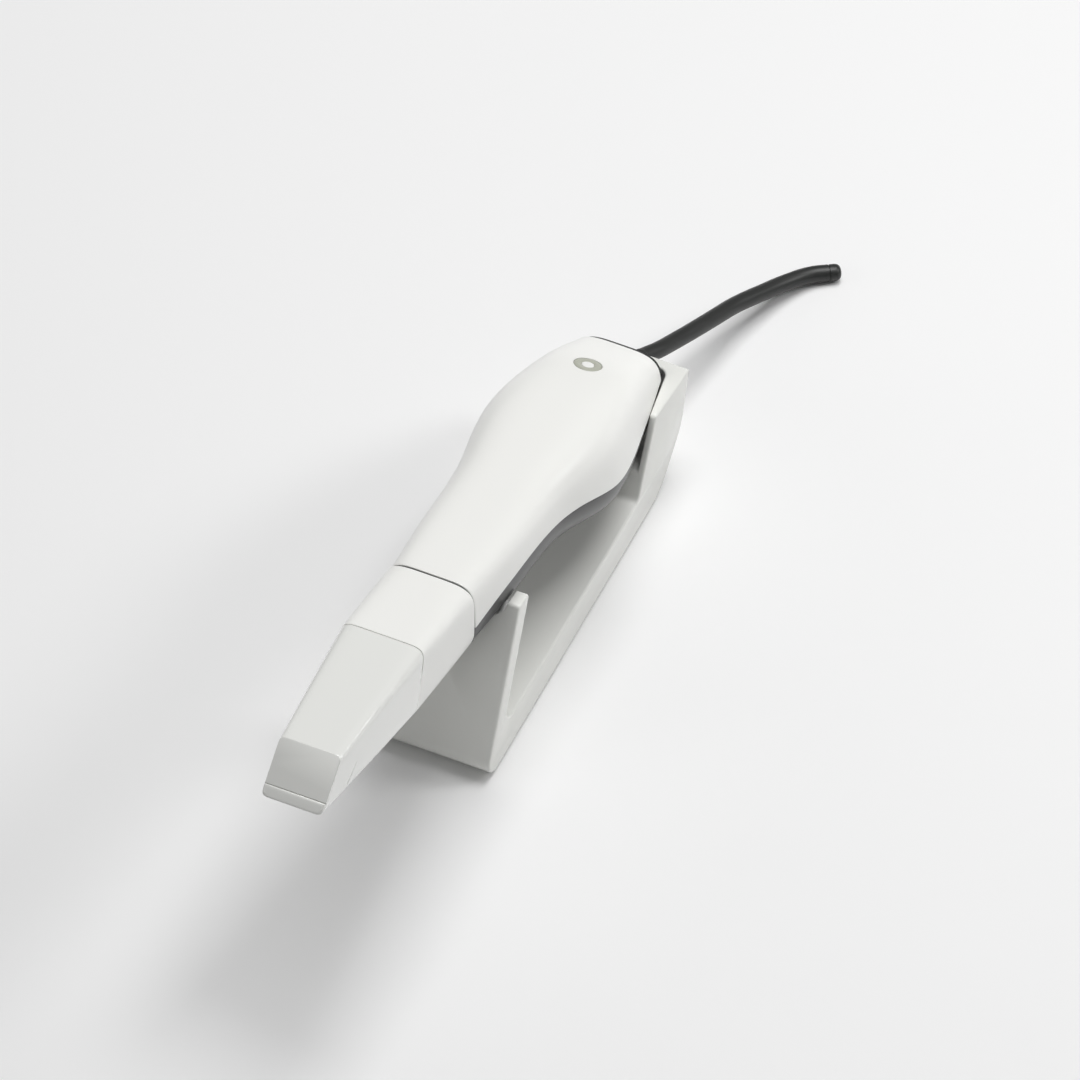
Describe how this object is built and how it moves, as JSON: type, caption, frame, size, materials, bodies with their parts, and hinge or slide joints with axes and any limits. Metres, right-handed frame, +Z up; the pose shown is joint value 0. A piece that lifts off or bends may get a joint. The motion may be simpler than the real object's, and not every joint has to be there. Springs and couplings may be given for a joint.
{
  "type": "intraoral scanner",
  "caption": "Handheld intraoral scanner with a pull-off mirror tip, ring button and short lead, resting tip-up in a leaning one-piece desk cradle.",
  "frame": {"origin": "on the desk surface, under the middle of the object's box without its cable", "axes": "+Y from the tip towards the cable end, +X to the handpiece's right, +Z up"},
  "size_m": [0.0525, 0.2928, 0.0887],
  "materials": {
    "cradle_plastic": "satin off-white moulded plastic",
    "ballast_steel": "plain steel",
    "base_plastic": "matte off-white",
    "screw_steel": "zinc plated",
    "pad_rubber": "matte silicone",
    "white_shell": "satin white",
    "dark_shell": "glossy charcoal",
    "nose_plastic": "matte black",
    "window_glass": "coated glass",
    "lens_glass": "coated glass",
    "seal_rubber": "matte",
    "spring_steel": "bright",
    "gold_contact": "gold plated",
    "alloy": "machined",
    "barrel_black": "matte black anodised",
    "module_grey": "satin",
    "board_green": "solder mask",
    "chip_black": "matte",
    "header_plastic": "natural nylon",
    "led_resin": "clear resin",
    "lead_jacket": "satin jacket",
    "ring_light": "satin grey light guide",
    "button_white": "satin white",
    "tip_plastic": "satin autoclavable plastic",
    "tip_mirror_glass": "polished",
    "heater_film": "polyimide film"
  },
  "bodies": {
    "cradle": {"cradle_body": "cradle_plastic", "ballast_block": "ballast_steel", "base_cover": "base_plastic", "base_screws": "screw_steel", "base_pad": "pad_rubber"},
    "handpiece": {"top_shell": "white_shell", "lower_shell": "dark_shell", "rear_cap": "dark_shell", "cap_screws": "screw_steel", "front_nose": "nose_plastic", "joint_ring": "nose_plastic", "nose_window": "window_glass", "nose_seal": "seal_rubber", "nose_clips": "spring_steel", "contact_pins": "gold_contact", "optics_frame": "alloy", "projector_barrel": "barrel_black", "projector_lens": "lens_glass", "camera_barrel": "barrel_black", "camera_lens": "lens_glass", "projector_module": "module_grey", "led_heat_sink": "alloy", "camera_board": "board_green", "image_sensor": "chip_black", "chassis_plate": "alloy", "board_spacers": "gold_contact", "board_screws": "screw_steel", "main_board": "board_green", "board_chips": "chip_black", "heat_spreader": "alloy", "cable_header": "header_plastic", "button_board": "board_green", "button_switch": "chip_black", "ring_leds": "led_resin", "inner_lead": "lead_jacket", "cable_clamp": "nose_plastic", "strain_relief": "lead_jacket", "cable": "lead_jacket", "cable_end": "lead_jacket"},
    "button": {"button_cap": "ring_light", "button_dot": "button_white"},
    "tip": {"tip_collar": "white_shell", "tip_cover": "tip_plastic", "tip_mirror": "tip_mirror_glass", "mirror_heater": "heater_film", "tip_contacts": "gold_contact"}
  },
  "joints": [
    {"name": "handpiece_lift", "type": "slide", "parent": "cradle", "child": "handpiece", "axis": [0, 0, 1], "range_m": [0, 0.07]},
    {"name": "tip_pull", "type": "slide", "parent": "handpiece", "child": "tip", "axis": [0, -0.9759, 0.2181], "range_m": [0, 0.045]},
    {"name": "button_press", "type": "slide", "parent": "handpiece", "child": "button", "axis": [0, -0.4478, -0.8942], "range_m": [0, 0.0005], "stiffness_N_per_m": 800}
  ]
}
